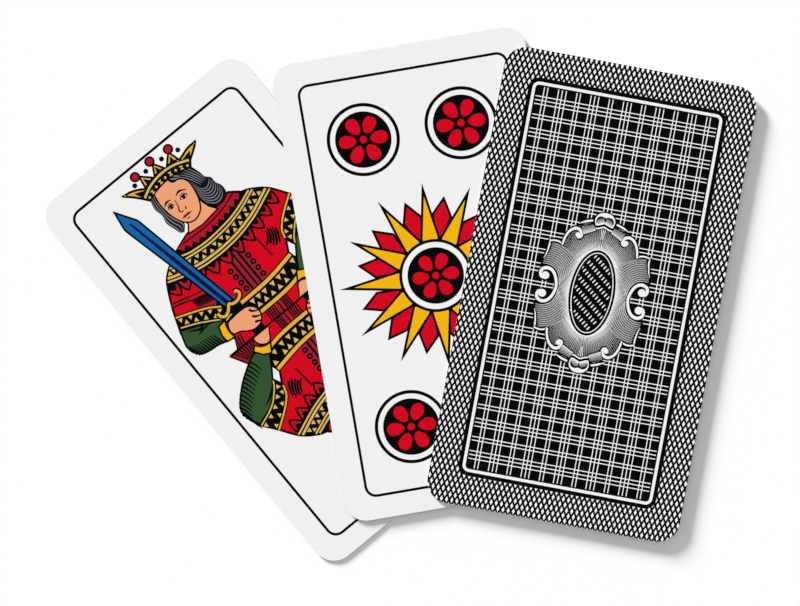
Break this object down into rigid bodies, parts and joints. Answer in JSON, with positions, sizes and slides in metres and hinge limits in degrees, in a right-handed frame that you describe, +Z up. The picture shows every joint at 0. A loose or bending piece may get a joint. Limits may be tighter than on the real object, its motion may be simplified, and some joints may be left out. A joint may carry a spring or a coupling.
{
  "type": "fan of playing cards",
  "caption": "Open fan of playing cards: a two-way court card, a coin-suit card and a face-down card, each pasted from printed plies over a thin core; the cards turn in to square the packet.",
  "frame": {"origin": "on the table, under the middle of the box round the open fan", "axes": "+Z up from the table, +X to the right along the fan, +Y towards the tops of the cards"},
  "size_m": [0.1443, 0.1082, 0.0011],
  "materials": {
    "card_face": "smooth white paper, printed and lightly varnished",
    "card_core": "dark opaque paste layer",
    "card_back": "white paper printed in black, lightly varnished"
  },
  "bodies": {
    "king_card": {"king_back_ply": "card_back", "king_core": "card_core", "king_face_ply": "card_face"},
    "five_card": {"five_back_ply": "card_back", "five_core": "card_core", "five_face_ply": "card_face"},
    "turned_card": {"turned_face_ply": "card_face", "turned_core": "card_core", "turned_back_ply": "card_back"}
  },
  "joints": [
    {"name": "five_fan", "type": "hinge", "parent": "king_card", "child": "five_card", "pos_m": [0.005, -0.05778, 0], "axis": [0, 0, 1], "range_deg": [-15.2, 29.8]},
    {"name": "turned_fan", "type": "hinge", "parent": "five_card", "child": "turned_card", "pos_m": [0.01136, -0.08723, 0], "axis": [0, 0, 1], "range_deg": [-24.8, 20.2]}
  ]
}
